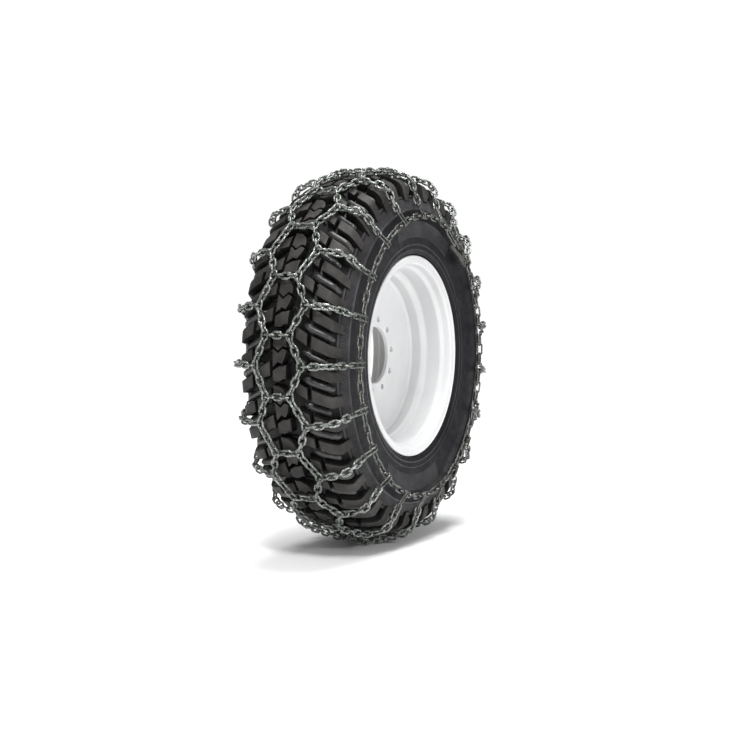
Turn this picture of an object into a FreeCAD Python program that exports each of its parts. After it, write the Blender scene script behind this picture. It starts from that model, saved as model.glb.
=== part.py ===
import FreeCAD, Part
import os
from math import acos, cos, hypot, pi, radians, sin

# A tractor tyre on its steel wheel, wearing a honeycomb snow chain.
# Frame: millimetres, +Y is the axle and points to the vehicle, +Z is up. The origin is the
# centre of the wheel, on the face of the disc that bolts to the hub.

SIZES = {
    # steel wheel
    "flange_radius": 383.5,
    "flange_lip": 11.0,
    "rim_half_width": 184.0,
    "rim_sheet": 8.5,
    "seat_radius": 355.6,
    "ledge_radius": 343.5,
    "well_radius": 320.5,
    "disc_sheet": 14.0,
    "bore_radius": 110.5,
    "bolt_ring_radius": 140.0,
    "bolt_hole_radius": 12.0,
    "bolt_count": 10,
    "bolt_start": 7.0,
    "valve_ring_radius": 326.0,
    "valve_angle": 170.0,
    "valve_neck_radius": 6.0,
    "valve_stem_radius": 4.2,
    # tyre
    "crown_radius": 694.5,
    "groove_depth": 30.0,
    "section_half_width": 205.0,
    "lug_count": 46,
    "lug_share": 0.64,
    # chain on the tread
    "tread_wire": 8.0,
    "tread_link_length": 45.0,
    "tread_link_width": 30.0,
    "link_play": 0.3,
    "cell_count": 21,
    "cell_start": 0.58,
    "rung_radius": 711.0,
    "point_radius": 702.0,
    "point_tilt": 12.0,
    "cross_links": 7,
    # side chains and their hooks
    "side_wire": 7.0,
    "side_link_width": 26.0,
    "side_radius": 532.0,
    "side_offset": 228.0,
    "cross_slack": 1.3,
    "cross_twist": 20.0,
    "cross_twist_most": 50.0,
    "side_links_per_cell": 4,
    "hook_wire": 7.0,
    "hook_bow": 8.2,
    "hook_tail": 6.0,
    # closure on the outer side chain
    "closure_cell": 2,
    "plate_sheet": 7.0,
    "lever_sheet": 8.0,
    "lever_reach": 142.0,
    "lever_gap": 0.5,
    "pivot_radius": 5.0,
    "pivot_play": 0.05,
    "ring_wire": 6.0,
    "ring_radius": 12.5,
    "keeper_length": 104.0,
    "keeper_width": 24.0,
    "keeper_tilt": 14.0,
}

AXLE = FreeCAD.Vector(0, 1, 0)

doc = FreeCAD.newDocument("snow_chain_wheel")
sheet = doc.addObject("Spreadsheet::Sheet", "Sizes")
for row, (alias, value) in enumerate(SIZES.items(), start=1):
    sheet.set(f"A{row}", alias)
    sheet.set(f"B{row}", str(value))
    sheet.setAlias(f"B{row}", alias)
doc.recompute()

nodes = {}


def size(alias):
    return float(sheet.get(alias))


def keep(obj, name):
    """Give a finished object its node name."""
    obj.Label = name
    nodes[name] = obj
    return obj


def keep_shape(shape, name):
    """Hold a shape made with Part's own functions as one node."""
    feature = doc.addObject("Part::Feature", name)
    feature.Shape = shape
    feature.Placement = FreeCAD.Placement()
    return keep(feature, name)


# ---------------------------------------------------------------- outlines

def rounded_outline(corners):
    """Closed outline of lines and tangent arcs. Each corner is (across, up, radius)."""
    points = [FreeCAD.Vector(a, b, 0) for a, b, radius in corners]
    count = len(points)
    pieces = []
    ends = []
    for i, (a, b, radius) in enumerate(corners):
        here = points[i]
        back = (points[i - 1] - here).normalize()
        ahead = (points[(i + 1) % count] - here).normalize()
        if radius == 0:
            ends.append((here, None, here))
            continue
        half = back.getAngle(ahead) / 2
        reach = radius * cos(half) / sin(half)
        middle = (back + ahead).normalize()
        apex = here + middle * (radius / sin(half) - radius)
        ends.append((here + back * reach, apex, here + ahead * reach))
    for i, (start, apex, end) in enumerate(ends):
        if apex is not None:
            pieces.append(Part.Arc(start, apex, end))
        following = ends[(i + 1) % count][0]
        if end.distanceToPoint(following) > 1e-6:
            pieces.append(Part.LineSegment(end, following))
    return pieces


def origin_plane(body, role):
    return [f for f in body.Origin.OriginFeatures if f.Role == role][0]


def new_sketch(body, name, role, pieces):
    sketch = body.newObject("Sketcher::SketchObject", name)
    sketch.AttachmentSupport = [(origin_plane(body, role), "")]
    sketch.MapMode = "FlatFace"
    for piece in pieces:
        sketch.addGeometry(piece, False)
    return sketch


def turned_body(name, corners):
    """A body turned about the axle: corners are (radius, along the axle, rounding)."""
    body = doc.addObject("PartDesign::Body", name)
    sketch = new_sketch(body, name + "_section", "XY_Plane", rounded_outline(corners))
    turn = body.newObject("PartDesign::Revolution", name + "_turn")
    turn.Profile = sketch
    turn.ReferenceAxis = (sketch, ["V_Axis"])
    turn.Angle = 360
    body.Tip = turn
    doc.recompute()
    return body


def face_of(corners):
    return Part.Face(Part.Wire([p.toShape() for p in rounded_outline(corners)]))


# ---------------------------------------------------------------- steel wheel

def make_rim():
    """Rolled rim: two flanges, bead seats, ledges and the drop centre well."""
    sheet_metal = size("rim_sheet")
    flange = size("flange_radius")
    lip = size("flange_lip")
    edge = size("rim_half_width")
    seat = size("seat_radius")
    ledge = size("ledge_radius")
    well = size("well_radius")
    seat_end = edge - lip
    step_outer = 146.0
    step_inner = 134.0
    drop_outer = 72.0
    drop_inner = 60.0
    outside = [
        (flange, edge, 3.0),
        (flange, edge - lip, 3.5),
        (seat + 2.0, seat_end, 5.0),
        (seat, step_outer, 8.0),
        (ledge, step_inner, 8.0),
        (ledge, drop_outer, 9.0),
        (well, drop_inner, 9.0),
    ]
    inside = [
        (flange - 5.0, edge, 1.5),
        (flange - 6.5, edge - 3.0, 3.0),
        (seat - sheet_metal + 4.0, edge - 5.0, 10.0),
        (seat - sheet_metal, step_outer + 4.0, 9.0),
        (ledge - sheet_metal, step_inner + 3.0, 9.0),
        (ledge - sheet_metal, drop_outer + 4.0, 10.0),
        (well - sheet_metal, drop_inner + 3.0, 10.0),
    ]
    corners = outside + [(r, -y, f) for r, y, f in reversed(outside)]
    corners += inside_mirror(inside)
    shell = turned_body("rim_rolled_section", corners)
    hole = doc.addObject("Part::Cylinder", "valve_hole")
    hole.setExpression("Radius", "Sizes.valve_neck_radius")
    hole.Height = 60
    angle = radians(size("valve_angle"))
    ring = size("valve_ring_radius")
    hole.Placement = FreeCAD.Placement(
        FreeCAD.Vector(ring * cos(angle), -40, ring * sin(angle)),
        FreeCAD.Rotation(FreeCAD.Vector(1, 0, 0), 90),
    )
    cut = doc.addObject("Part::Cut", "rim_barrel")
    cut.Base = shell
    cut.Tool = hole
    return keep(cut, "rim_barrel")


def inside_mirror(inside):
    """The inner face of the rim, walked from the hub side to the outer side."""
    hub_side = [(r, -y, f) for r, y, f in inside]
    outer_side = [(r, y, f) for r, y, f in reversed(inside)]
    return hub_side + outer_side


def make_disc():
    """Pressed disc, welded into the well, with the hub bore and the bolt holes."""
    sheet_metal = size("disc_sheet")
    bore = size("bore_radius")
    weld_radius = size("well_radius") - size("rim_sheet")
    corners = [
        (bore, 0, 0),
        (weld_radius, 0, 0),
        (weld_radius, -sheet_metal - 9.0, 0),
        (weld_radius - 3.0, -sheet_metal - 8.0, 2.0),
        (weld_radius - 12.0, -sheet_metal, 8.0),
        (bore + 2.0, -sheet_metal, 1.5),
        (bore, -sheet_metal + 2.0, 1.0),
    ]
    body = turned_body("wheel_disc", corners)
    ring = size("bolt_ring_radius")
    start = radians(size("bolt_start"))
    centre = FreeCAD.Vector(ring * cos(start), ring * sin(start), 0)
    circle = Part.Circle(centre, FreeCAD.Vector(0, 0, 1), size("bolt_hole_radius"))
    sketch = new_sketch(body, "bolt_hole", "XZ_Plane", [circle])
    pocket = body.newObject("PartDesign::Pocket", "bolt_hole_cut")
    pocket.Profile = sketch
    pocket.Type = "ThroughAll"
    pocket.Midplane = True
    doc.recompute()
    pattern = body.newObject("PartDesign::PolarPattern", "bolt_holes")
    pattern.Originals = [pocket]
    pattern.Axis = (sketch, ["N_Axis"])
    pattern.Angle = 360
    pattern.setExpression("Occurrences", "Sizes.bolt_count")
    body.Tip = pattern
    return keep(body, "wheel_disc")


def valve_section(corners, name):
    """A small turned piece on the valve's own axis, which is parallel to the axle."""
    body = turned_body(name, corners)
    angle = radians(size("valve_angle"))
    ring = size("valve_ring_radius")
    body.Placement = FreeCAD.Placement(
        FreeCAD.Vector(ring * cos(angle), 0, ring * sin(angle)), FreeCAD.Rotation()
    )
    return keep(body, name)


def make_valve():
    """Snap-in rubber valve through the step of the rim, and its screwed cap."""
    neck = size("valve_neck_radius")
    stem = size("valve_stem_radius")
    valve_section(
        [
            (0, -50.0, 0),
            (stem, -50.0, 0),
            (neck, -56.0, 0),
            (neck, -76.0, 0),
            (neck, -80.0, 1.0),
            (stem, -86.0, 1.0),
            (stem, -104.0, 0),
            (0, -104.0, 0),
        ],
        "valve_stem",
    )
    valve_section(
        [
            (0, -104.5, 0),
            (stem + 0.8, -104.5, 0.5),
            (stem + 0.8, -117.0, 1.5),
            (0, -117.0, 0),
        ],
        "valve_cap",
    )


# ---------------------------------------------------------------- tyre

def make_tyre():
    """Hollow tyre casing with a row of centre lugs and two rows of shoulder lugs."""
    crown = size("crown_radius")
    base = crown - size("groove_depth")
    wide = size("section_half_width")
    rim_edge = size("rim_half_width")
    bead = size("seat_radius") + 3.0
    flange_face = rim_edge - size("flange_lip") - 1.0
    clinch = size("flange_radius") + 4.0
    skin = [
        (base - 9.0, 110.0, 120.0),
        (base - 34.0, 160.0, 30.0),
        (600.0, wide - 16.0, 60.0),
        (548.0, wide, 60.0),
        (450.0, wide - 10.0, 80.0),
        (clinch + 12.0, rim_edge + 11.0, 20.0),
        (clinch, flange_face + 4.0, 2.0),
        (clinch - 3.0, flange_face, 1.5),
        (bead, flange_face - 2.0, 4.0),
        (bead, 138.0, 3.0),
    ]
    lining = [
        (372.0, 136.0, 6.0),
        (410.0, 166.0, 30.0),
        (548.0, wide - 26.0, 80.0),
        (base - 62.0, 158.0, 40.0),
        (base - 30.0, 90.0, 90.0),
    ]
    corners = skin + lining
    corners += [(r, -y, f) for r, y, f in reversed(lining)]
    corners += [(r, -y, f) for r, y, f in reversed(skin)]
    origin = FreeCAD.Vector()
    casing = face_of(corners).revolve(origin, AXLE, 360)
    pitch = 360.0 / size("lug_count")
    arc = pitch * size("lug_share")
    shoulder_section = [
        (crown - 3.0, 66.0, 0),
        (crown - 8.5, 92.0, 0),
        (crown - 29.5, 164.0, 6.0),
        (650.0, 182.0, 6.0),
        (592.0, 196.0, 8.0),
        (576.0, wide - 3.0, 0),
        (576.0, 184.0, 0),
        (base - 50.0, 150.0, 0),
        (base - 12.0, 66.0, 0),
    ]
    centre_section = [
        (crown, -46.0, 4.0),
        (crown, 46.0, 4.0),
        (base - 12.0, 46.0, 0),
        (base - 12.0, -46.0, 0),
    ]
    outer_section = [(r, -y, f) for r, y, f in shoulder_section]
    lugs = []
    for i in range(int(size("lug_count"))):
        for section, shift in ((shoulder_section, 0), (outer_section, 0), (centre_section, 0.5)):
            face = face_of(section)
            face.rotate(origin, AXLE, (i + shift) * pitch - arc / 2)
            lugs.append(face.revolve(origin, AXLE, arc))
    return keep_shape(casing.fuse(lugs), "tyre")


# ---------------------------------------------------------------- links

def link_shape(length, width, wire):
    """One welded oval link about the origin: long along X, wide along Y."""
    bend = (width - wire) / 2
    half = (length - wire) / 2 - bend
    top = [FreeCAD.Vector(half, bend, 0), FreeCAD.Vector(-half, bend, 0)]
    low = [FreeCAD.Vector(-half, -bend, 0), FreeCAD.Vector(half, -bend, 0)]
    left = FreeCAD.Vector(-half - bend, 0, 0)
    right = FreeCAD.Vector(half + bend, 0, 0)
    path = Part.Wire(
        [
            Part.LineSegment(top[0], top[1]).toShape(),
            Part.Arc(top[1], left, low[0]).toShape(),
            Part.LineSegment(low[0], low[1]).toShape(),
            Part.Arc(low[1], right, top[0]).toShape(),
        ]
    )
    section = Part.Wire(Part.Circle(top[0], FreeCAD.Vector(1, 0, 0), wire / 2).toShape())
    return path.makePipeShell([section], True, False)


def placed(shape, centre, along, across):
    """A copy of a shape with its X axis along one direction and its Y axis across."""
    along = FreeCAD.Vector(along).normalize()
    up = along.cross(across).normalize()
    side = up.cross(along)
    copy = shape.copy()
    copy.Placement = FreeCAD.Placement(centre, FreeCAD.Rotation(along, side, up, "XYZ"))
    return copy


def out_from_axle(angle):
    return FreeCAD.Vector(cos(angle), 0, sin(angle))


def round_axle(angle):
    return FreeCAD.Vector(-sin(angle), 0, cos(angle))


tread_bend = (size("tread_link_width") - size("tread_wire")) / 2
tread_crown = (size("tread_link_length") - size("tread_wire")) / 2
tread_nest = (size("tread_wire") + size("link_play")) / 2
tread_pitch = 2 * (tread_crown - tread_nest)
tread_straight = tread_crown - tread_bend
cells = int(size("cell_count"))
cell_angle = 2 * pi / cells
first_cell = radians(size("cell_start"))
tread_link = link_shape(size("tread_link_length"), size("tread_link_width"), size("tread_wire"))


class CornerLink:
    """A flat link at a corner of the honeycomb, lying round the tyre."""

    def __init__(self, radius, angle, offset, tilt):
        self.along = round_axle(angle)
        side = AXLE if offset > 0 else -AXLE
        self.across = side * cos(tilt) - out_from_axle(angle) * sin(tilt)
        self.centre = out_from_axle(angle) * radius + AXLE * offset

    def end_contact(self, way, target):
        """Where a chain that comes from target bears on the bend at one end."""
        bend_centre = self.centre + self.along * (way * tread_straight)
        pull = target - bend_centre
        flat = self.along * pull.dot(self.along) + self.across * pull.dot(self.across)
        return bend_centre + flat.normalize() * (tread_bend - tread_nest)

    def side_contact(self, way):
        """Where a chain bears on the straight side: +1 is the side away from the centre."""
        return self.centre + self.across * (way * (tread_bend - tread_nest))

    def solid(self):
        return placed(tread_link, self.centre, self.along, self.across)


def rung_offset():
    """Corner offset that lets three links span the tread between two corner links."""
    return 1.5 * tread_pitch + tread_bend - tread_nest


def corner(kind, cell, offset):
    """Corner links: rung corners on the crown, point corners half a cell further on."""
    if kind == "rung":
        return CornerLink(size("rung_radius"), first_cell + cell * cell_angle, offset, 0)
    angle = first_cell + (cell + 0.5) * cell_angle
    return CornerLink(size("point_radius"), angle, offset, radians(size("point_tilt")))


def contacts(start, end):
    """Both bearing points of a chain from the near end of one corner to the next."""
    way = 1 if (end.centre - start.centre).dot(start.along) > 0 else -1
    here, there = start.centre, end.centre
    for settle in range(6):
        here = start.end_contact(way, there)
        there = end.end_contact(-way, here)
    return here, there


def point_offset():
    """Offset of the point corners at which a diagonal is exactly three links long."""
    near, far = rung_offset(), rung_offset() + 3 * tread_pitch
    while far - near > 1e-6:
        trial = (near + far) / 2
        here, there = contacts(corner("rung", 0, rung_offset()), corner("point", 0, trial))
        if here.distanceToPoint(there) < 3 * tread_pitch:
            near = trial
        else:
            far = trial
    return near


def straight_chain(start, end, count, up, first_on_edge):
    """Links in line from one bearing point to the other, every second one on edge."""
    along = (end - start).normalize()
    flat_across = up.cross(along).normalize()
    edge_across = along.cross(flat_across)
    solids = []
    for i in range(count):
        on_edge = first_on_edge == (i % 2 == 0)
        centre = start + (end - start) * ((i + 0.5) / count)
        solids.append(placed(tread_link, centre, along, edge_across if on_edge else flat_across))
    return solids


corner_offset = rung_offset()
outer_offset = point_offset()


def make_tread_cell(cell):
    """One cell: its rung, its four corner links and the four diagonals that meet the rung."""
    up = out_from_axle(first_cell + cell * cell_angle)
    solids = []
    ends = []
    for side in (-1, 1):
        rung_corner = corner("rung", cell, side * corner_offset)
        ends.append(rung_corner.side_contact(-1))
        solids.append(rung_corner.solid())
        solids.append(corner("point", cell, side * outer_offset).solid())
        for neighbour in (cell, cell - 1):
            far_corner = corner("point", neighbour, side * outer_offset)
            here, there = contacts(rung_corner, far_corner)
            solids += straight_chain(here, there, 3, up, True)
    solids += straight_chain(ends[0], ends[1], 3, up, True)
    return keep_shape(Part.makeCompound(solids), f"tread_cell_{cell + 1:02d}")


# ---------------------------------------------------------------- chains over the shoulder

side_bend = (size("side_link_width") - size("side_wire")) / 2
side_nest = (size("side_wire") + size("link_play")) / 2
side_per_cell = int(size("side_links_per_cell"))
side_pitch = 2 * size("side_radius") * sin(cell_angle / side_per_cell / 2)
side_link_length = side_pitch + 2 * side_nest + size("side_wire")
side_link = link_shape(side_link_length, size("side_link_width"), size("side_wire"))


def shoulder_curve():
    """The line of the shoulder chain in the plane (offset, radius), as a Bezier curve."""
    tilt = radians(size("point_tilt"))
    reach = tread_bend - tread_nest
    start = (outer_offset + reach * cos(tilt), size("point_radius") - reach * sin(tilt))
    hook_top = size("side_offset") - 6.0
    poles = [start, (214.0, 684.0), (192.0, 658.0), (hook_top, 570.0)]
    curve = Part.BezierCurve()
    curve.setPoles([FreeCAD.Vector(a, b, 0) for a, b in poles])
    return curve


def shoulder_points():
    """Bearing points of the shoulder chain, one slack pitch apart along the curve."""
    curve = shoulder_curve()
    pitch = tread_pitch - size("cross_slack")
    here = curve.value(0)
    at = 0.0
    points = [here]
    for i in range(int(size("cross_links"))):
        near, far = at, at + 0.4
        while far - near > 1e-7:
            trial = (near + far) / 2
            if curve.value(trial).distanceToPoint(here) < pitch:
                near = trial
            else:
                far = trial
        at = near
        here = curve.value(at)
        points.append(here)
    return points


meridian_points = shoulder_points()


def on_side(point, angle, side):
    """A point of the meridian plane (offset, radius) on one side of the wheel."""
    return out_from_axle(angle) * point.y + AXLE * (side * point.x)


def link_twist(step):
    """How far a link of the shoulder chain lies over, so that the chain hugs the lugs."""
    from_end = min(step, len(meridian_points) - 2 - step)
    return radians(min(size("cross_twist") * from_end, size("cross_twist_most")))


def cross_chain_solids(cell, side):
    angle = first_cell + (cell + 0.5) * cell_angle
    solids = []
    for i in range(len(meridian_points) - 1):
        here = on_side(meridian_points[i], angle, side)
        there = on_side(meridian_points[i + 1], angle, side)
        along = (there - here).normalize()
        flat_across = round_axle(angle)
        edge_across = along.cross(flat_across)
        twist = link_twist(i)
        if i % 2 == 0:
            across = edge_across * cos(twist) + flat_across * sin(twist)
        else:
            across = flat_across * cos(twist) - edge_across * sin(twist)
        solids.append(placed(tread_link, (here + there) / 2, along, across))
    return solids


def hook_shape():
    """Side hook in the plane (offset, radius, along the rim): a bow and two hooked prongs."""
    wire = size("hook_wire")
    bow = size("hook_bow")
    last, end = meridian_points[-2], meridian_points[-1]
    pull = (end - last).normalize()
    bow_nest = (size("tread_wire") + wire) / 2 + size("link_play")
    bow_top = end + pull * (tread_nest - bow_nest)
    leg = FreeCAD.Vector(size("side_offset") + side_bend, size("side_radius"), 0)
    curl = (size("side_wire") + wire) / 2 + size("link_play")
    run = (leg - bow_top).normalize()
    for settle in range(8):
        bow_end = bow_top + run * bow
        reach = bow_end - leg
        swing = acos(curl / reach.Length)
        spin = FreeCAD.Rotation(FreeCAD.Vector(0, 0, -1), swing * 180 / pi)
        tangent = leg + spin.multVec(FreeCAD.Vector(reach).normalize()) * curl
        run = (tangent - bow_end).normalize()
    low = leg + FreeCAD.Vector(0, -curl, 0)
    inner = leg + FreeCAD.Vector(-curl, 0, 0)
    tail = inner + FreeCAD.Vector(0, size("hook_tail"), 0)

    def at(point, along_rim):
        return FreeCAD.Vector(point.x, point.y, along_rim)

    edges = []
    for side in (1, -1):
        prong = [
            Part.LineSegment(at(tail, side * bow), at(inner, side * bow)),
            Part.Arc(at(inner, side * bow), at(low, side * bow), at(tangent, side * bow)),
            Part.LineSegment(at(tangent, side * bow), at(bow_end, side * bow)),
        ]
        edges.append([p.toShape() for p in prong])
    top = Part.Arc(at(bow_end, bow), at(bow_top, 0), at(bow_end, -bow)).toShape()
    path = Part.Wire(edges[0] + [top] + edges[1][::-1])
    section = Part.Wire(Part.Circle(at(tail, bow), FreeCAD.Vector(0, 1, 0), wire / 2).toShape())
    return path.makePipeShell([section], True, False)


def hook_solids(side):
    shape = hook_shape()
    solids = []
    for cell in range(cells):
        angle = first_cell + (cell + 0.5) * cell_angle
        away = AXLE * side
        up = out_from_axle(angle)
        turn = FreeCAD.Rotation(away, up, away.cross(up), "XYZ")
        copy = shape.copy()
        copy.Placement = FreeCAD.Placement(FreeCAD.Vector(), turn)
        solids.append(copy)
    return solids


def side_station(step):
    """Angle of one link of a side chain; step 0 is the link that the first hook holds."""
    return first_cell + cell_angle / 2 + step * cell_angle / side_per_cell


closure_step = int(size("closure_cell")) * side_per_cell + 1


def side_chain_solids(side):
    """A whole side chain but for the link that its closure stands in for."""
    solids = []
    middle = size("side_radius") * cos(cell_angle / side_per_cell / 2)
    for step in range(cells * side_per_cell):
        if step == closure_step:
            continue
        angle = side_station(step)
        centre = out_from_axle(angle) * middle + AXLE * (side * size("side_offset"))
        across = AXLE if step % 2 == 0 else out_from_axle(angle)
        solids.append(placed(side_link, centre, round_axle(angle), across))
    return solids


# ---------------------------------------------------------------- closures

EAR_ALONG = -13.0
EAR_DOWN = -33.0


def closure_placement(lift):
    """Frame at the closure: X along the side chain, Y away from the axle, Z to the hub."""
    angle = side_station(closure_step)
    middle = size("side_radius") * cos(cell_angle / side_per_cell / 2)
    x_axis = round_axle(angle)
    y_axis = out_from_axle(angle)
    centre = y_axis * middle - AXLE * lift
    return FreeCAD.Placement(
        centre, FreeCAD.Rotation(x_axis, y_axis, x_axis.cross(y_axis), "XYZ")
    )


def link_hole_at(wire_nest):
    return side_pitch / 2 - wire_nest


def flat_piece(name, corners, thickness, alias):
    """A flat plate body padded from its own XY plane, half each way."""
    body = doc.addObject("PartDesign::Body", name)
    sketch = new_sketch(body, name + "_outline", "XY_Plane", rounded_outline(corners))
    pad = body.newObject("PartDesign::Pad", name + "_pad")
    pad.Profile = sketch
    pad.setExpression("Length", "Sizes." + alias)
    pad.Midplane = True
    body.Tip = pad
    doc.recompute()
    return body


def cut_holes(body, name, pieces):
    sketch = new_sketch(body, name + "_holes", "XY_Plane", pieces)
    pocket = body.newObject("PartDesign::Pocket", name + "_cut")
    pocket.Profile = sketch
    pocket.Type = "ThroughAll"
    pocket.Midplane = True
    body.Tip = pocket
    doc.recompute()


def circle_at(a, b, radius):
    return Part.Circle(FreeCAD.Vector(a, b, 0), FreeCAD.Vector(0, 0, 1), radius)


def make_closing_plate():
    """Plate in the outer side chain: one eye, one open notch and the ear of the lever."""
    hole = link_hole_at(side_nest)
    room = size("side_wire") / 2 + 1.4
    end = hole + room + 6.2
    corners = [
        (-end, 9.0, 5.0),
        (hole - room, 9.0, 1.5),
        (hole - room, -room, room),
        (hole + room, -room, room),
        (hole + room, 9.0, 1.5),
        (end, 9.0, 2.5),
        (end, -9.0, 6.0),
        (EAR_ALONG + 13.0, -13.0, 6.0),
        (EAR_ALONG + 11.0, EAR_DOWN - 11.0, 10.0),
        (EAR_ALONG - 11.0, EAR_DOWN - 11.0, 10.0),
        (EAR_ALONG - 12.0, -10.0, 3.0),
        (-end, -9.0, 4.0),
    ]
    body = flat_piece("closing_plate", corners, size("plate_sheet"), "plate_sheet")
    eye = circle_at(-hole, 0, room)
    pivot = circle_at(EAR_ALONG, EAR_DOWN, size("pivot_radius"))
    cut_holes(body, "closing_plate", [eye, pivot])
    body.Placement = closure_placement(size("side_offset"))
    return keep(body, "closing_plate")


def lever_lift():
    """How far out the lever's middle plane stands from the wheel's middle plane."""
    thickness = (size("plate_sheet") + size("lever_sheet")) / 2
    return size("side_offset") + thickness + size("lever_gap")


def make_closing_lever():
    """Tapered over-centre lever, folded back along the inside of the side chain."""
    reach = size("lever_reach")
    corners = [
        (EAR_ALONG - 14.0, EAR_DOWN + 12.0, 9.0),
        (EAR_ALONG - 14.0, EAR_DOWN - 14.0, 9.0),
        (EAR_ALONG + 24.0, EAR_DOWN - 19.0, 40.0),
        (EAR_ALONG + 82.0, EAR_DOWN - 30.0, 60.0),
        (EAR_ALONG + reach - 5.0, EAR_DOWN - 46.0, 5.0),
        (EAR_ALONG + reach, EAR_DOWN - 34.0, 5.0),
        (EAR_ALONG + 76.0, EAR_DOWN - 12.0, 60.0),
        (EAR_ALONG + 24.0, EAR_DOWN + 9.0, 30.0),
    ]
    body = flat_piece("closing_lever", corners, size("lever_sheet"), "lever_sheet")
    bore = size("pivot_radius") + size("pivot_play")
    cut_holes(body, "closing_lever", [circle_at(EAR_ALONG, EAR_DOWN, bore)])
    body.Placement = closure_placement(lever_lift())
    return keep(body, "closing_lever")


def make_lever_pin():
    """Rivet through the plate and the lever, with a head at each end."""
    plate = size("plate_sheet")
    lever = size("lever_sheet")
    gap = size("lever_gap")
    head_height = 3.0
    buried = 2.0
    shank = doc.addObject("Part::Cylinder", "pin_shank")
    shank.setExpression("Radius", "Sizes.pivot_radius")
    shank.setExpression(
        "Height", f"Sizes.plate_sheet + Sizes.lever_sheet + 2 * Sizes.lever_gap + {2 * buried}"
    )
    front = -plate / 2 - lever - 2 * gap
    shank.Placement.Base = FreeCAD.Vector(0, 0, front - buried)
    heads = []
    for name, level in (("front", front - head_height), ("back", plate / 2)):
        head = doc.addObject("Part::Cylinder", f"pin_head_{name}")
        head.setExpression("Radius", "Sizes.pivot_radius * 1.7")
        head.Height = head_height
        head.Placement.Base = FreeCAD.Vector(0, 0, level)
        heads.append(head)
    pin = doc.addObject("Part::MultiFuse", "lever_pin")
    pin.Shapes = [shank] + heads
    place = closure_placement(size("side_offset"))
    place.Base = place.multVec(FreeCAD.Vector(EAR_ALONG, EAR_DOWN, 0))
    pin.Placement = place
    return keep(pin, "lever_pin")


def make_keeper():
    """Ring in a free link of the outer side chain, and the long keeper link it carries."""
    angle = side_station(closure_step + 5)
    along, up = round_axle(angle), out_from_axle(angle)
    middle = size("side_radius") * cos(cell_angle / side_per_cell / 2)
    leg = up * middle - AXLE * (size("side_offset") + side_bend)
    ring_wire = size("ring_wire")
    ring_radius = size("ring_radius")
    sag = ring_radius - (size("side_wire") + ring_wire) / 2 - size("link_play")
    ring = doc.addObject("Part::Torus", "keeper_ring")
    ring.setExpression("Radius1", "Sizes.ring_radius")
    ring.setExpression("Radius2", "Sizes.ring_wire / 2")
    ring.Placement = FreeCAD.Placement(
        leg - up * sag, FreeCAD.Rotation(FreeCAD.Vector(0, 0, 1), along)
    )
    keep(ring, "keeper_ring")
    length = size("keeper_length")
    wire = size("side_wire")
    tilt = radians(size("keeper_tilt"))
    lengthways = along * -cos(tilt) - up * sin(tilt)
    held = leg - up * (sag + ring_radius)
    overlap = (wire + ring_wire) / 2 + size("link_play")
    centre = held + lengthways * ((length - wire) / 2 - overlap)
    shape = link_shape(length, size("keeper_width"), wire)
    solid = placed(shape, centre, lengthways, AXLE.cross(lengthways))
    return keep_shape(Part.makeCompound([solid]), "keeper_link")


def make_inner_hook():
    """Plain hook link that closes the inner side chain: an eye and an open notch."""
    hole = link_hole_at(side_nest)
    room = size("side_wire") / 2 + 1.4
    end = hole + room + 6.2
    corners = [
        (-end, 9.5, 5.0),
        (hole - room, 9.5, 1.5),
        (hole - room, -room, room),
        (hole + room, -room, room),
        (hole + room, 9.5, 1.5),
        (end, 9.5, 2.5),
        (end, -9.5, 6.0),
        (-end, -9.5, 5.0),
    ]
    body = flat_piece("inner_closing_hook", corners, size("plate_sheet"), "plate_sheet")
    cut_holes(body, "inner_closing_hook", [circle_at(-hole, 0, room)])
    body.Placement = closure_placement(-size("side_offset"))
    return keep(body, "inner_closing_hook")


# ---------------------------------------------------------------- assembly

make_rim()
make_disc()
make_valve()
make_tyre()
for cell in range(cells):
    make_tread_cell(cell)
    outer = Part.makeCompound(cross_chain_solids(cell, -1))
    keep_shape(outer, f"outer_cross_chain_{cell + 1:02d}")
inner_cross = [solid for cell in range(cells) for solid in cross_chain_solids(cell, 1)]
keep_shape(Part.makeCompound(inner_cross), "inner_cross_chains")
for side_name, side in (("outer", -1), ("inner", 1)):
    keep_shape(Part.makeCompound(hook_solids(side)), side_name + "_side_hooks")
    keep_shape(Part.makeCompound(side_chain_solids(side)), side_name + "_side_chain")
make_closing_plate()
make_closing_lever()
make_lever_pin()
make_keeper()
make_inner_hook()
doc.recompute()

for obj in doc.Objects:
    if "Invalid" in obj.State or "Error" in obj.State:
        raise RuntimeError(f"{obj.Label} did not build: {obj.State}")
for name, obj in nodes.items():
    if obj.Shape.isNull() or not obj.Shape.isValid() or not obj.Shape.Solids:
        raise RuntimeError(f"{name} is not a valid solid")

os.makedirs("parts", exist_ok=True)
for name, obj in nodes.items():
    obj.Shape.exportStep(f"parts/{name}.step")
print(len(nodes), "nodes,", sum(len(o.Shape.Solids) for o in nodes.values()), "solids")
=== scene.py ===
import math
import random

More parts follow.
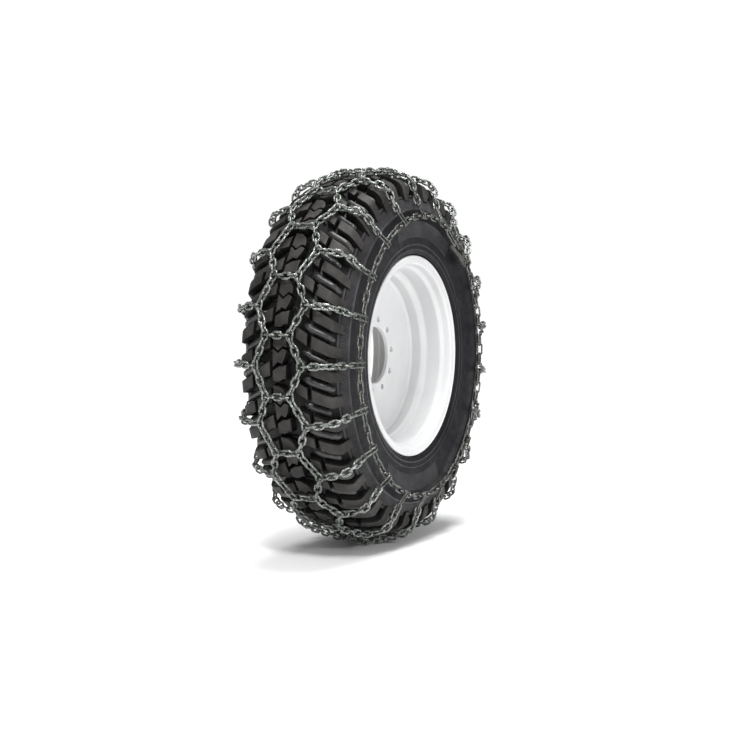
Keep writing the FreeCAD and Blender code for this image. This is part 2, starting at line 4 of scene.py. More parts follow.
import bpy
import numpy as np
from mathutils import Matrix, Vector


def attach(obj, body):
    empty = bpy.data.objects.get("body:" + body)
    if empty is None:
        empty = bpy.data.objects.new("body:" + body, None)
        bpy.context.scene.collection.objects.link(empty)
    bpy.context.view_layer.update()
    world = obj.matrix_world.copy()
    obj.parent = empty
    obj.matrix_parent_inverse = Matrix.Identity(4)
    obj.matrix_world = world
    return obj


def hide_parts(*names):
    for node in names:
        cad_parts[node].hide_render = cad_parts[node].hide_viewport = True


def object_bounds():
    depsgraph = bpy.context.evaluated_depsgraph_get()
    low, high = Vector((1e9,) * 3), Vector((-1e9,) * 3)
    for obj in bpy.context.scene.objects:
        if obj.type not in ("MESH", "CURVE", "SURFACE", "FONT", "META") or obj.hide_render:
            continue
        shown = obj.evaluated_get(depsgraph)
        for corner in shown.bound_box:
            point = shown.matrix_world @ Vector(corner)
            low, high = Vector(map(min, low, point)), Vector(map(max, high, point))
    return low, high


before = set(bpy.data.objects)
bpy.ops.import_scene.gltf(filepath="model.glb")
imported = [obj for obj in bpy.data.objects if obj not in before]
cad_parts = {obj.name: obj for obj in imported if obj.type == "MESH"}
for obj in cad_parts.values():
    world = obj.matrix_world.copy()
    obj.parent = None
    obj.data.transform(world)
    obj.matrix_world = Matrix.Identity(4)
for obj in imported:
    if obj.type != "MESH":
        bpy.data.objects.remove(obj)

# Looks for a tractor tyre on its steel wheel, wearing a honeycomb snow chain.
# Lengths in the tables below are millimetres, angles are degrees round the axle.

MM = 0.001
cad_low, cad_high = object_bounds()
rng = random.Random(28)


# ---------------------------------------------------------------- camera, light and floor

# Metres and degrees in this section. CAMERA_FALL is how far the camera looks down.
CAMERA_PLACE = Vector((-4.632, -2.411, 0.262))
CAMERA_AZIMUTH = -62.63
CAMERA_FALL = 3.73
CAMERA_LENS = 64.55

# Place, diameter and power in watts of each round lamp. All are aimed at the wheel's centre.
LAMPS = {
    "key": ((-3.6, -1.2, 4.2), 1.2, 210.0),
    "top": ((0.6, -0.8, 4.4), 2.4, 60.0),
    "face": ((-1.6, -5.0, 1.6), 1.4, 98.0),
}
WORLD_STRENGTH = 0.39
SUN_STRENGTH = 2.4
SUN_SPREAD = 30.0
SUN_AIM = (-0.14, 0.02, -1.0)

FLOOR_HALF = 60.0
FLOOR_GAP = 0.0005
WALL_RADIUS = 55.0
WALL_LOW, WALL_HIGH = -2.0, 50.0
WALL_SIDES = 64


def make_camera():
    data = bpy.data.cameras.new("camera")
    data.lens = CAMERA_LENS
    data.sensor_width = 36.0
    data.clip_start = 0.1
    data.clip_end = 200.0
    data.dof.use_dof = False
    camera = bpy.data.objects.new("camera", data)
    azimuth, fall = math.radians(CAMERA_AZIMUTH), math.radians(CAMERA_FALL)
    ahead = Vector((
        -math.sin(azimuth) * math.cos(fall),
        math.cos(azimuth) * math.cos(fall),
        -math.sin(fall),
    ))
    camera.location = CAMERA_PLACE
    camera.rotation_euler = ahead.to_track_quat("-Z", "Y").to_euler()
    bpy.context.scene.collection.objects.link(camera)
    bpy.context.scene.camera = camera


def area_light(name, place, size, power):
    data = bpy.data.lights.new(name, "AREA")
    data.shape = "DISK"
    data.size = size
    data.energy = power
    light = bpy.data.objects.new(name, data)
    light.location = place
    aim = -Vector(place)
    light.rotation_euler = aim.to_track_quat("-Z", "Y").to_euler()
    bpy.context.scene.collection.objects.link(light)


def make_studio():
    world = bpy.data.worlds.new("studio")
    world.use_nodes = True
    background = world.node_tree.nodes["Background"]
    background.inputs["Color"].default_value = (1.0, 1.0, 1.0, 1.0)
    background.inputs["Strength"].default_value = WORLD_STRENGTH
    bpy.context.scene.world = world
    bpy.context.scene.view_settings.view_transform = "Standard"
    for name, (place, size, power) in LAMPS.items():
        area_light(name, place, size, power)
    sun = bpy.data.lights.new("soft_sun", "SUN")
    sun.energy = SUN_STRENGTH
    sun.angle = math.radians(SUN_SPREAD)
    lamp = bpy.data.objects.new("soft_sun", sun)
    lamp.rotation_euler = Vector(SUN_AIM).to_track_quat("-Z", "Y").to_euler()
    bpy.context.scene.collection.objects.link(lamp)


def make_backdrop():
    """A white wall far off, all round, that only closes the view."""
    around = WALL_SIDES
    angles = [math.tau * i / around for i in range(around)]
    ring = [(WALL_RADIUS * math.cos(a), WALL_RADIUS * math.sin(a)) for a in angles]
    points = [(x, y, z) for z in (WALL_LOW, WALL_HIGH) for x, y in ring]
    points.append((0.0, 0.0, WALL_HIGH))
    faces = []
    for i in range(around):
        n = (i + 1) % around
        faces.append((i, n, around + n, around + i))
        faces.append((around + i, around + n, 2 * around))
    wall = new_piece("backdrop", points, faces, [backdrop_white()])
    wall.visible_diffuse = False
    wall.visible_glossy = False
    wall.visible_shadow = False


def make_floor():
    half = FLOOR_HALF
    level = cad_low.z - FLOOR_GAP
    corners = [(x, y, level) for x, y in ((-half, -half), (half, -half), (half, half), (-half, half))]
    mesh = bpy.data.meshes.new("floor")
    mesh.from_pydata(corners, [], [(0, 1, 2, 3)])
    mesh.materials.append(floor_paper())
    floor = bpy.data.objects.new("floor", mesh)
    bpy.context.scene.collection.objects.link(floor)


# ---------------------------------------------------------------- materials

class Shader:
    """A Principled material with a few short calls for its procedural nodes."""

    def __init__(self, name, roughness, metallic=0.0, specular=0.5):
        self.material = bpy.data.materials.new(name)
        self.material.use_nodes = True
        self.tree = self.material.node_tree
        self.shader = self.tree.nodes["Principled BSDF"]
        self.shader.inputs["Roughness"].default_value = roughness
        self.shader.inputs["Metallic"].default_value = metallic
        self.shader.inputs["Specular IOR Level"].default_value = specular
        self.where = self.tree.nodes.new("ShaderNodeTexCoord").outputs["Object"]

    def noise(self, scale, detail=4.0, rough=0.55):
        node = self.tree.nodes.new("ShaderNodeTexNoise")
        node.inputs["Scale"].default_value = scale
        node.inputs["Detail"].default_value = detail
        node.inputs["Roughness"].default_value = rough
        self.tree.links.new(self.where, node.inputs["Vector"])
        return node.outputs["Fac"]

    def ramp(self, factor, stops):
        """Colours along a factor, each stop a place and a colour."""
        node = self.tree.nodes.new("ShaderNodeValToRGB")
        band = node.color_ramp
        while len(band.elements) < len(stops):
            band.elements.new(0.5)
        for element, (place, colour) in zip(band.elements, stops):
            element.position = place
            element.color = (*colour, 1.0)
        self.tree.links.new(factor, node.inputs["Fac"])
        return node.outputs["Color"]

    def mix(self, factor, first, second, blend="MIX"):
        node = self.tree.nodes.new("ShaderNodeMix")
        node.data_type = "RGBA"
        node.blend_type = blend
        slots = [s for s in node.inputs if s.enabled]
        for slot, value in zip(slots, (factor, first, second)):
            if isinstance(value, bpy.types.NodeSocket):
                self.tree.links.new(value, slot)
            elif slot.type == "RGBA":
                slot.default_value = (*value, 1.0)
            else:
                slot.default_value = value
        return [s for s in node.outputs if s.enabled][0]

    def spread(self, factor, low, high):
        """A noise's middle range, stretched to run from low to high."""
        node = self.tree.nodes.new("ShaderNodeMapRange")
        node.inputs["From Min"].default_value = 0.3
        node.inputs["From Max"].default_value = 0.7
        node.inputs["To Min"].default_value = low
        node.inputs["To Max"].default_value = high
        self.tree.links.new(factor, node.inputs["Value"])
        return node.outputs["Result"]

    def attribute(self, name):
        node = self.tree.nodes.new("ShaderNodeAttribute")
        node.attribute_name = name
        return node.outputs["Fac"]

    def colour(self, source):
        self.tree.links.new(source, self.shader.inputs["Base Color"])

    def roughness(self, source):
        self.tree.links.new(source, self.shader.inputs["Roughness"])

    def bump(self, source, height, strength=1.0):
        node = self.tree.nodes.new("ShaderNodeBump")
        node.inputs["Strength"].default_value = strength
        node.inputs["Distance"].default_value = height
        self.tree.links.new(source, node.inputs["Height"])
        self.tree.links.new(node.outputs["Normal"], self.shader.inputs["Normal"])


def floor_paper():
    paper = Shader("studio_floor", 0.9, specular=0.1)
    grain = paper.noise(3.0, 2.0)
    paper.colour(paper.ramp(grain, [(0.3, (0.95, 0.95, 0.95)), (0.7, (0.97, 0.97, 0.97))]))
    return paper.material


def backdrop_white():
    white = Shader("backdrop_white", 1.0, specular=0.0)
    white.shader.inputs["Base Color"].default_value = (0.0, 0.0, 0.0, 1.0)
    white.shader.inputs["Emission Color"].default_value = (1.0, 1.0, 1.0, 1.0)
    white.shader.inputs["Emission Strength"].default_value = 1.02
    return white.material


LINK_TONE = "link_tone"


def chain_steel(name, dark, pale, shine):
    """Dull galvanised steel: patchy spangle, each link a shade of its own."""
    steel = Shader(name, shine, metallic=0.82, specular=0.5)
    patches = steel.ramp(steel.noise(130.0, 5.0, 0.62), [(0.32, dark), (0.68, pale)])
    stains = steel.ramp(steel.noise(17.0, 3.0), [(0.35, (0.66, 0.68, 0.64)), (0.62, (1, 1, 1))])
    toned = steel.mix(1.0, patches, stains, "MULTIPLY")
    own_shade = steel.ramp(steel.attribute(LINK_TONE), [(0.0, (0.78, 0.80, 0.78)), (1.0, (1, 1, 1))])
    steel.colour(steel.mix(1.0, toned, own_shade, "MULTIPLY"))
    steel.roughness(steel.spread(steel.noise(210.0, 3.0), shine - 0.10, shine + 0.14))
    steel.bump(steel.noise(420.0, 4.0), 0.00035, 0.5)
    return steel.material


def rubber(name, dark, pale, roughness, grain=900.0, height=0.0004, specular=0.24):
    """Matt rubber with faint bloom and a fine grain."""
    skin = Shader(name, roughness, specular=specular)
    bloom = skin.ramp(skin.noise(9.0, 5.0, 0.6), [(0.35, dark), (0.68, pale)])
    dust = skin.ramp(skin.noise(70.0, 6.0, 0.7), [(0.35, (0.72, 0.72, 0.72)), (0.66, (1, 1, 1))])
    skin.colour(skin.mix(1.0, bloom, dust, "MULTIPLY"))
    skin.roughness(skin.spread(skin.noise(38.0, 4.0), roughness - 0.09, roughness + 0.09))
    skin.bump(skin.noise(grain, 3.0), height, 0.45)
    return skin.material


def wheel_paint():
    """Pale satin paint with fine specks, and painted shade that darkens it on the vehicle's side of the
    disc.
    """
    paint = Shader("wheel_paint", 0.42, specular=0.22)
    pale_tones = [(0.3, (0.56, 0.563, 0.568)), (0.7, (0.62, 0.623, 0.628))]
    tone = paint.ramp(paint.noise(5.0, 4.0), pale_tones)
    specks = paint.ramp(paint.noise(260.0, 2.0), [(0.24, (0.80, 0.80, 0.79)), (0.34, (1, 1, 1))])
    depth = paint.tree.nodes.new("ShaderNodeSeparateXYZ")
    paint.tree.links.new(paint.where, depth.inputs["Vector"])
    # Painted shade: from 2 cm to 6 cm out on the vehicle's side the paint darkens to about 0.62 of its
    # tone, standing for the shade inside the barrel.
    painted_vehicle_side_shade = paint.ramp(depth.outputs["Y"], [(0.02, (1, 1, 1)), (0.06, (0.62, 0.615, 0.60))])
    speckled = paint.mix(1.0, tone, specks, "MULTIPLY")
    paint.colour(paint.mix(1.0, speckled, painted_vehicle_side_shade, "MULTIPLY"))
    paint.roughness(paint.spread(paint.noise(24.0, 3.0), 0.36, 0.48))
    paint.bump(paint.noise(330.0, 2.0), 0.0002, 0.25)
    return paint.material


# ---------------------------------------------------------------- meshes

def new_piece(name, vertices, faces, materials, slots=None, sharp=38.0):
    mesh = bpy.data.meshes.new(name)
    mesh.from_pydata([tuple(v) for v in vertices], [], faces)
    for material in materials:
        mesh.materials.append(material)
    if slots is not None:
        mesh.polygons.foreach_set("material_index", slots)
    mesh.set_sharp_from_angle(angle=math.radians(sharp))
    mesh.update()
    piece = bpy.data.objects.new(name, mesh)
    bpy.context.scene.collection.objects.link(piece)
    return piece


class Builder:
    """Collects points and faces of one piece, with a material number for each face."""

    def __init__(self):
        self.points = []
        self.faces = []
        self.slots = []
        self.count = 0

    def add(self, points, faces, slots):
        self.points.append(np.asarray(points, float))
        self.faces += [tuple(i + self.count for i in f) for f in faces]
        self.slots += slots
        self.count += len(points)

    def piece(self, name, materials):
        points = np.concatenate(self.points)
        return new_piece(name, points, self.faces, materials, self.slots)


# ---------------------------------------------------------------- tyre

# Each period of the tread has two lugs on a side. The pattern's angles are those of the
# period that starts at PHASE. A depth is measured down from the lug tops.
LUG_PERIODS = 23
PERIOD = 360.0 / LUG_PERIODS
PHASE = 171.7
GROOVE = 28.0
LUG_ROOT = 36.0

# Distances at which the crown line, a block and a rib are divided.
LINE_STEP = 4.0
BLOCK_STEP = 12.0
RIB_STEP = 9.0

# Length on the tread of one degree round the axle.
TREAD_DEGREE = math.radians(1.0) * 690.0

# Numbers of the tyre's materials.
TREAD, TOP, WALL, HATCH, BAR = range(5)

# Line of the lug tops in the meridian plane: (radius, distance from the middle plane).
CROWN = [
    (694.2, 0), (694.0, 25), (693.2, 46), (691.0, 66), (685.6, 92), (678.0, 120),
    (664.8, 163.6), (650.0, 181.6), (622.0, 188.5), (594.0, 195.3), (585.0, 197.5),
]


def smooth_line(points):
    """The corner points joined by a line, sampled evenly and lightly smoothed."""
    points = np.array(points, float)
    run = np.concatenate([[0], np.cumsum(np.hypot(*np.diff(points, axis=0).T))])
    at = np.linspace(0, run[-1], int(run[-1] / LINE_STEP) + 1)
    line = np.stack([np.interp(at, run, points[:, k]) for k in (0, 1)], 1)
    for repeat in range(3):
        line[1:-1] = (line[:-2] + 2 * line[1:-1] + line[2:]) / 4
    return at, line


crown_run, crown_line = smooth_line(CROWN)
crown_slope = np.gradient(crown_line, axis=0)
crown_slope /= np.hypot(*crown_slope.T)[:, None]


def on_crown(s, angle, depth, side):
    """Points at distance s from the middle of the tread, some depth under the lug tops."""
    s = np.asarray(s, float)
    flip = np.where(s < 0, -1.0, 1.0)
    reach = np.abs(s)
    radius = np.interp(reach, crown_run, crown_line[:, 0])
    out = np.interp(reach, crown_run, crown_line[:, 1])
    down_r = np.interp(reach, crown_run, crown_slope[:, 1])
    down_y = -np.interp(reach, crown_run, crown_slope[:, 0])
    radius = radius - down_r * depth
    out = (out - down_y * depth) * flip * side
    a = np.radians(angle)
    return np.stack([radius * np.cos(a), out, radius * np.sin(a)], 1) * MM


def shifted(points, phase):
    """Points of the first period, moved to the period that starts at phase."""
    return [(s, a - PHASE + phase) for s, a in points]


def block(builder, upper, lower, side, columns=4, depth=GROOVE, bevel=1.8, draft=5.0):
    """A tread block between an upper and a lower edge, each a list of (s, angle) points.

    The two edges have the same number of points. Its walls lean out by draft at the foot.
    """
    pairs = np.array([upper, lower], float).transpose(1, 0, 2)
    rows = []
    for here, ahead in zip(pairs[:-1], pairs[1:]):
        steps = max(1, int(abs(ahead[0, 0] - here[0, 0]) / BLOCK_STEP))
        rows += [here + (ahead - here) * (i / steps) for i in range(steps)]
    rows = np.array(rows + [pairs[-1]])
    count = len(rows)
    share = (np.arange(columns + 1) / columns)[None, :, None]
    grid = rows[:, :1] + (rows[:, 1:] - rows[:, :1]) * share
    grid[:, :, 1] *= TREAD_DEGREE

    ring = [(i, 0) for i in range(count)]
    ring += [(count - 1, j) for j in range(1, columns + 1)]
    ring += [(i, columns) for i in range(count - 2, -1, -1)]
    ring += [(0, j) for j in range(columns - 1, 0, -1)]
    edge = np.array([grid[i, j] for i, j in ring])
    area = np.sum(edge[:, 0] * np.roll(edge[:, 1], -1) - np.roll(edge[:, 0], -1) * edge[:, 1])
    turn = 1.0 if area > 0 else -1.0
    ahead = np.roll(edge, -1, 0) - edge
    ahead /= np.hypot(*ahead.T)[:, None]
    behind = np.roll(ahead, 1, 0)
    normal_a = np.stack([ahead[:, 1], -ahead[:, 0]], 1) * turn
    normal_b = np.stack([behind[:, 1], -behind[:, 0]], 1) * turn
    miter = normal_a + normal_b
    miter /= np.maximum(np.sum(miter * normal_a, 1), 0.5)[:, None]

    inner = grid.copy()
    for k, (i, j) in enumerate(ring):
        inner[i, j] = edge[k] - miter[k] * bevel
    flat = inner.reshape(-1, 2)
    points = [on_crown(flat[:, 0], flat[:, 1] / TREAD_DEGREE, 0.0, side)]
    index = {(i, j): i * (columns + 1) + j for i in range(count) for j in range(columns + 1)}
    faces = []
    slots = []
    for i in range(count - 1):
        for j in range(columns):
            faces.append((index[i, j], index[i + 1, j], index[i + 1, j + 1], index[i, j + 1]))
            slots.append(TOP)

    # Rings of the bevel and the wall: how far out from the edge, and how deep.
    levels = [
        (-0.3 * bevel, 0.3 * bevel),
        (0.0, bevel),
        (0.45 * draft, depth * 0.45),
        (draft, depth),
    ]
    loop = [index[i, j] for i, j in ring]
    base = len(flat)
    for number, (out, deep) in enumerate(levels):
        moved = edge + miter * out
        points.append(on_crown(moved[:, 0], moved[:, 1] / TREAD_DEGREE, deep, side))
        following = list(range(base, base + len(ring)))
        for k in range(len(ring)):
            n = (k + 1) % len(ring)
            faces.append((loop[k], following[k], following[n], loop[n]))
            slots.append(TOP if number == 0 else TREAD)
        loop = following
        base += len(ring)
    if (turn > 0) != (side > 0):
        faces = [f[::-1] for f in faces]
    builder.add(np.concatenate(points), faces, slots)


# Start angle, inner end, and the inner and outer part's breadth in degrees of the two lugs.
LUGS = ((0.0, 62.5, 3.35, 3.7), (7.95, 70.0, 3.0, 3.4))


def shoulder_lugs(builder, side, phase):
    """The pair of slanting lugs of one period, each in an inner and an outer part."""
    for start, inner, broad, outer_broad in LUGS:
        a = phase + start
        b = a + outer_broad  # the outer part's far edge
        tip = a - 2.5 + (inner - LUGS[0][1]) * 0.05
        block(
            builder,
            [(inner, tip), (104.0, a - 0.45)],
            [(inner, tip + broad), (104.0, a - 0.45 + broad + 0.1)],
            side,
            depth=LUG_ROOT,
        )
        block(
            builder,
            [(119.0, a), (150.0, a + 1.25), (190.0, a + 2.65), (246.0, a + 3.25)],
            [(119.0, b), (150.0, b + 1.2), (190.0, b + 2.6), (249.0, b + 3.0)],
            side,
            columns=5,
            depth=LUG_ROOT,
            bevel=1.5,
            draft=4.0,
        )


def rib(builder, line, side, width, height, floor, slot=TREAD, around=7):
    """A rounded rib on the groove floor along (s, angle) points, which tapers at both ends."""
    line = np.array(line, float)
    lengths = np.hypot(np.diff(line[:, 0]), np.diff(line[:, 1]) * TREAD_DEGREE)
    run = np.concatenate([[0], np.cumsum(lengths)])
    at = np.linspace(0, run[-1], max(3, int(run[-1] / RIB_STEP)))
    s = np.interp(at, run, line[:, 0])
    u = np.interp(at, run, line[:, 1]) * TREAD_DEGREE
    ds, du = np.gradient(s), np.gradient(u)
    size = np.hypot(ds, du)
    ns, nu = -du / size, ds / size
    fade = np.clip(np.minimum(at, run[-1] - at) / (0.6 * width) + 0.25, 0, 1) ** 0.5
    points = []
    for k in range(around):
        t = -1 + 2 * k / (around - 1)
        rise = math.sqrt(max(0.0, 1 - t * t)) * height
        across = t * width / 2
        angle = (u + nu * across * fade) / TREAD_DEGREE
        points.append(on_crown(s + ns * across * fade, angle, floor - rise * fade, side))
    count = len(at)
    faces = []
    for k in range(around - 1):
        for i in range(count - 1):
            here, beside = k * count + i, (k + 1) * count + i
            faces.append((here, here + 1, beside + 1, beside))
    for i in (0, count - 1):
        cap = [k * count + i for k in range(around)]
        faces.append(tuple(cap[::-1] if i else cap))
    if side < 0:
        faces = [f[::-1] for f in faces]
    builder.add(np.concatenate(points), faces, [slot] * len(faces))


def tie_bars(builder, side, phase):
    """The rounded bar in every second groove, and the low web in the others."""
    bar = [(84, 168.3), (120, 169.9), (160, 171.25), (200, 172.2), (232, 172.7)]
    rib(builder, shifted(bar, phase), side, 38.0, 30.0, LUG_ROOT, BAR, 15)
    web = [(84, 176.0), (120, 177.9), (160, 179.3), (196, 180.2)]
    rib(builder, shifted(web, phase), side, 32.0, 22.0, LUG_ROOT, BAR, 15)
    link = [(108, 172.0), (116, 173.6)]
    rib(builder, shifted(link, phase), side, 9.0, 14.0, GROOVE + 3)


def centre_blocks(builder, phase):
    """One period of the middle of the tread: a broken zig-zag rib and a row beside it."""
    middle = [
        ([(-25, 170.6), (0, 170.9), (18, 172.0), (29, 174.0)],
         [(-25, 174.9), (-4, 176.3), (14, 174.9), (30, 175.4)]),
        ([(-25, 175.6), (-4, 177.0), (14, 175.6), (31, 176.2)],
         [(-25, 181.0), (-4, 179.4), (12, 180.0), (24, 178.2)]),
        ([(-25, 182.0), (0, 180.7), (16, 180.6), (30, 180.2)],
         [(-25, 184.9), (-2, 185.2), (16, 184.3), (27, 184.4)]),
    ]
    row = [
        ([(-92, 181.6), (-66, 180.5), (-37, 179.3)], [(-88, 184.8), (-66, 184.2), (-36, 183.4)]),
        ([(-78, 188.6), (-60, 188.1), (-37, 187.4)], [(-80, 191.8), (-60, 191.7), (-36, 191.2)]),
    ]
    for upper, lower in middle + row:
        block(builder, shifted(upper, phase), shifted(lower, phase), -1, bevel=1.6, draft=4.0)
    low_ribs = [
        ([(-60, 177.2), (-30, 175.6)], 12.0, 10.0),
        ([(-24, 188.4), (24, 186.6), (48, 187.6)], 11.0, 9.0),
        ([(34, 178.6), (60, 180.6)], 12.0, 12.0),
    ]
    for line, width, height in low_ribs:
        rib(builder, shifted(line, phase), -1, width, height, GROOVE + 1)


# Section of the hollow casing, from the crown round the bead and back up inside:
# (radius, distance from the middle plane).
CASING = [
    (666.0, 0), (665.8, 30), (664.6, 60), (660.0, 92),
    (650.0, 120), (637.0, 143), (629.0, 155), (619.0, 165),
    (611.0, 173.0), (608.6, 179.0), (605.6, 182.6), (603.4, 183.4), (601.6, 182.6), (598.0, 184.6),
    (580.0, 192.8), (563.0, 198.6), (560.8, 201.6), (558.0, 202.4), (555.6, 201.4), (552.0, 198.6),
    (548.0, 198.4), (520.0, 199.6), (490.0, 199.0), (450.0, 196.0), (428.0, 193.4), (425.6, 195.0),
    (423.0, 194.6), (421.0, 192.6), (408.0, 191.2), (405.6, 192.8), (403.0, 192.4), (401.0, 190.2),
    (396.0, 189.0), (391.0, 186.4), (388.4, 182.6), (387.8, 178.5), (385.4, 173.2), (372.0, 171.6),
    (362.0, 170.6), (359.6, 167.0), (359.6, 140.0), (361.0, 137.5), (372.0, 137.0),
    (392.0, 146.0), (410.0, 158.0), (470.0, 172.0), (548.0, 178.0),
    (602.0, 152.0), (634.0, 90.0), (640.0, 0),
]

# Radii between which the casing is a raised ring, and under which it is plain sidewall.
RAISED_RINGS = ((601.0, 609.0), (555.0, 563.0), (422.0, 428.0), (402.0, 408.0))
PLAIN_WALL = 555
CASING_SIDES = 368


def make_tyre():
    builder = Builder()
    casing(builder)
    for number in range(LUG_PERIODS):
        phase = PHASE + number * PERIOD
        for part in (shoulder_lugs, tie_bars):
            part(builder, -1, phase)
            part(builder, 1, phase - PERIOD / 4)
        centre_blocks(builder, phase)
        shoulder_marks(builder, -1, phase)
        shoulder_marks(builder, 1, phase - PERIOD / 4)
    fine_ribs(builder)
    # In the order of the material numbers.
    materials = [
        rubber(
            "tread_rubber", (0.004, 0.0038, 0.004), (0.011, 0.0105, 0.0105),
            roughness=0.46, specular=0.18,
        ),
        rubber(
            "lug_top_rubber", (0.016, 0.0148, 0.0140), (0.050, 0.0465, 0.0435),
            roughness=0.58, grain=520.0, height=0.0006,
        ),
        rubber(
            "sidewall_rubber", (0.004, 0.0038, 0.0056), (0.010, 0.0094, 0.0125),
            roughness=0.52, grain=1400.0, height=0.0002, specular=0.14,
        ),
        rubber(
            "hatched_rubber", (0.028, 0.027, 0.030), (0.056, 0.054, 0.058),
            roughness=0.50, height=0.0002,
        ),
        # Painted highlight: the tie bars get a lighter copy of the tread rubber, which stands for the
        # broad highlights on them; their gloss comes from the roughness and specular.
        rubber(
            "tie_bar_rubber", (0.020, 0.019, 0.0188), (0.046, 0.044, 0.043),
            roughness=0.36, grain=300.0, height=0.0001, specular=0.5,
        ),
    ]
    tyre = builder.piece("tyre_casing", materials)
    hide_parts("tyre")
    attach(tyre, "wheel")


def casing(builder):
    """The hollow casing, turned about the axle, with its thin raised rings."""
    around = CASING_SIDES
    half = np.array(CASING, float)
    other = half[1:-1][::-1] * (1, -1)
    section = np.concatenate([half, other])
    count = len(section)
    angle = np.radians(np.arange(around) * 360.0 / around)
    points = np.zeros((around, count, 3))
    points[:, :, 0] = np.cos(angle)[:, None] * section[:, 0]
    points[:, :, 1] = section[:, 1]
    points[:, :, 2] = np.sin(angle)[:, None] * section[:, 0]
    faces = []
    slots = []
    for i in range(around):
        n = (i + 1) % around
        for k in range(count):
            m = (k + 1) % count
            faces.append((i * count + k, i * count + m, n * count + m, n * count + k))
            radius = (section[k, 0] + section[m, 0]) / 2
            raised = any(low < radius < high for low, high in RAISED_RINGS)
            slots.append(HATCH if raised else WALL if radius < PLAIN_WALL else TREAD)
    builder.add(points.reshape(-1, 3) * MM, faces, slots)


def shoulder_marks(builder, side, phase):
    """The short raised line at the foot of a lug and its tie bar."""
    line = [(233, 166.2), (233, 169.5), (233, 173.0)]
    rib(builder, shifted(line, phase), side, 4.0, 9.0, 20.0, HATCH, 5)


# Corners of a fine rib: (place across it, rise over the sidewall). FINE_RIB_UNIT is the
# share of the spacing that one unit of place takes.
FINE_RIB = ((-1.6, -0.3), (-0.6, 1.0), (0.6, 1.0), (1.6, -0.3))
FINE_RIB_UNIT = 0.22


def wall_ribs(builder, side, line, start, end, step):
    """Fine radial ribs on the sidewall, each along a line of (radius, offset) points."""
    count = int(round((end - start) / step))
    corners = len(FINE_RIB)
    last = corners * (len(line) - 1)
    for k in range(count):
        middle = start + (k + 0.5) * step
        unit = step * FINE_RIB_UNIT
        points = []
        for radius, out in line:
            for place, rise in FINE_RIB:
                a = math.radians(middle + unit * place)
                points.append((radius * math.cos(a), side * (out + rise), radius * math.sin(a)))
        faces = [(3, 2, 1, 0), (last, last + 1, last + 2, last + 3)]
        for row in range(0, last, corners):
            for i in range(row, row + corners - 1):
                faces.append((i, i + 1, i + 1 + corners, i + corners))
        if side < 0:
            faces = [f[::-1] for f in faces]
        builder.add(np.array(points) * MM, faces, [HATCH] * len(faces))


def fine_ribs(builder):
    """The hatched band under the lugs and the two plain hatched panels of the sidewall."""
    band = [(563.0, 198.7), (580.0, 192.9), (598.0, 184.7)]
    panel = [(452.0, 196.2), (488.0, 199.0), (514.0, 199.6)]
    for side in (-1, 1):
        wall_ribs(builder, side, band, 0.0, 360.0, 0.5)
        for middle in (84.0, 264.0):
            wall_ribs(builder, side, panel, middle - 27, middle + 27, 0.36)


# ---------------------------------------------------------------- chain links

def islands(mesh):
    """Welded points of a CAD node, the number of the solid that each is on, and their count."""
    points = np.zeros(len(mesh.vertices) * 3)
    mesh.vertices.foreach_get("co", points)
    points = points.reshape(-1, 3)
    keys = np.round(points * 1e6).astype(np.int64)
    welded, back = np.unique(keys, axis=0, return_inverse=True)
    back = back.reshape(-1)
    edges = np.zeros(len(mesh.edges) * 2, np.int32)
    mesh.edges.foreach_get("vertices", edges)
    first, second = back[edges[0::2]], back[edges[1::2]]
    label = np.arange(len(welded))
    while True:
        low = np.minimum(label[first], label[second])
        renewed = label.copy()
        np.minimum.at(renewed, first, low)
        np.minimum.at(renewed, second, low)
        renewed = renewed[renewed]
        if np.array_equal(renewed, label):
            break
        label = renewed
    names, number = np.unique(label, return_inverse=True)
    return welded * 1e-6, number.reshape(-1), len(names)


def link_frames(mesh):
    """Centre, long axis, broad axis and sizes, from thin to long, of each link of a CAD node."""
    points, number, count = islands(mesh)
    total = np.bincount(number, minlength=count)
    sums = np.stack([np.bincount(number, points[:, k], count) for k in range(3)], 1)
    centre = sums / total[:, None]
    away = points - centre[number]
    spread = np.zeros((count, 3, 3))
    for j in range(3):
        for k in range(3):
            spread[:, j, k] = np.bincount(number, away[:, j] * away[:, k], count)
    axes = np.linalg.eigh(spread)[1]
    local = np.einsum("nk,nkj->nj", away, axes[number])
    sizes = np.zeros((count, 3))
    for k in range(3):
        np.maximum.at(sizes[:, k], number, np.abs(local[:, k]))
    return centre, axes[:, :, 2], axes[:, :, 1], sizes * 2


LINK_AROUND = 12
STRAIGHT_POINTS = 9
BEND_POINTS = 13

# The weld's bulge as a share of the wire's radius, and its reach in wire diameters.
WELD_RISE = 0.13
WELD_SPAN = 0.36


def link_points(length, width, wire, weld_side):
    """Points of one welded link about the origin, long along the first axis, in metres."""
    bend = (width - wire) / 2
    half = (length - wire) / 2 - bend
    straight = np.linspace(-half, half, STRAIGHT_POINTS)
    turn = np.radians(np.linspace(-90, 90, BEND_POINTS))[1:-1]
    arc = [(math.cos(a), math.sin(a)) for a in turn]
    # Stations along the wire: place, outward direction, and whether the weld is there.
    path = [(x, bend, 0.0, 1.0, weld_side > 0) for x in straight[::-1]]
    path += [(-half - bend * c, -bend * s, -c, -s, False) for c, s in arc]
    path += [(x, -bend, 0.0, -1.0, weld_side < 0) for x in straight]
    path += [(half + bend * c, bend * s, c, s, False) for c, s in arc]
    points = []
    for x, y, nx, ny, welded in path:
        radius = wire / 2
        if welded:
            radius *= 1.0 + WELD_RISE * math.exp(-((x / (WELD_SPAN * wire)) ** 2))
        for k in range(LINK_AROUND):
            a = 2 * math.pi * k / LINK_AROUND
            out = math.cos(a) * radius
            points.append((x + nx * out, y + ny * out, math.sin(a) * radius))
    return np.array(points), len(path)


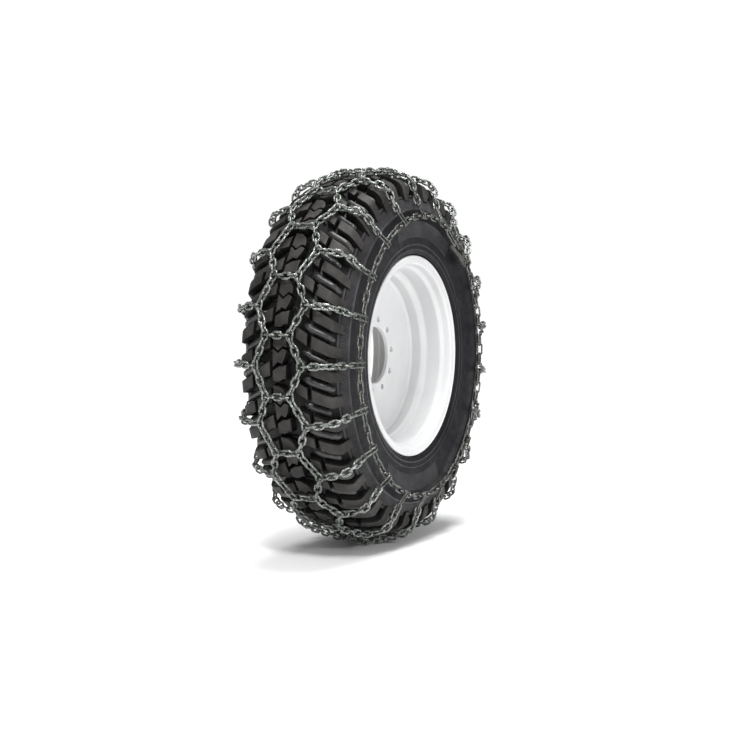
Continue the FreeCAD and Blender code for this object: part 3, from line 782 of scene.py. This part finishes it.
def link_faces(stations):
    faces = []
    for station in range(stations):
        i = station * LINK_AROUND
        n = (station + 1) % stations * LINK_AROUND
        for k in range(LINK_AROUND):
            m = (k + 1) % LINK_AROUND
            faces.append((i + k, n + k, n + m, i + m))
    return np.array(faces)


def make_links(node, material, body):
    """All the links of one CAD node, as one piece of finely shaped welded links."""
    centre, long_axis, broad_axis, sizes = link_frames(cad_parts[node].data)
    points, faces, tones = [], [], []
    offset = 0
    for k in range(len(centre)):
        thin, broad, long = sizes[k]
        shape, stations = link_points(long, broad, thin, rng.choice((-1, 1)))
        thin_axis = np.cross(long_axis[k], broad_axis[k])
        axes = np.stack([long_axis[k], broad_axis[k], thin_axis])
        points.append(shape @ axes + centre[k])
        faces.append(link_faces(stations) + offset)
        tones.append(np.full(len(shape), rng.random()))
        offset += len(shape)
    points = np.concatenate(points)
    faces = np.concatenate(faces).tolist()
    piece = new_piece(node + "_links", points, faces, [material], sharp=80.0)
    tone = piece.data.attributes.new(LINK_TONE, "FLOAT", "POINT")
    tone.data.foreach_set("value", np.concatenate(tones).astype(np.float32))
    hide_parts(node)
    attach(piece, body)


def repaint(node, material):
    """A CAD node keeps its shape and gets a better material."""
    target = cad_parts[node]
    target.data.materials.clear()
    target.data.materials.append(material)


# ---------------------------------------------------------------- the whole object

make_camera()
make_studio()
make_floor()
make_backdrop()
make_tyre()

tread_steel = chain_steel("tread_chain_steel", (0.085, 0.091, 0.088), (0.46, 0.475, 0.46), 0.32)
side_steel = chain_steel("side_chain_steel", (0.060, 0.062, 0.058), (0.27, 0.275, 0.262), 0.34)
lever_steel = chain_steel("lever_steel", (0.11, 0.106, 0.10), (0.26, 0.25, 0.235), 0.42)
paint = wheel_paint()

for name in sorted(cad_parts):
    if name.startswith("tread_cell") or "cross_chain" in name:
        make_links(name, tread_steel, "chain_set")
for name in ("outer_side_chain", "inner_side_chain"):
    make_links(name, side_steel, "chain_set")
make_links("keeper_link", side_steel, "keeper")
fittings = ("outer_side_hooks", "inner_side_hooks", "keeper_ring", "closing_plate", "inner_closing_hook")
for name in fittings:
    repaint(name, side_steel)
for name in ("closing_lever", "lever_pin"):
    repaint(name, lever_steel)
for name in ("rim_barrel", "wheel_disc"):
    repaint(name, paint)
stem_rubber = rubber("valve_rubber", (0.012, 0.012, 0.012), (0.03, 0.03, 0.03), 0.5)
repaint("valve_stem", stem_rubber)
cap_plastic = rubber("cap_plastic", (0.015, 0.015, 0.015), (0.035, 0.035, 0.035), 0.35)
repaint("valve_cap", cap_plastic)
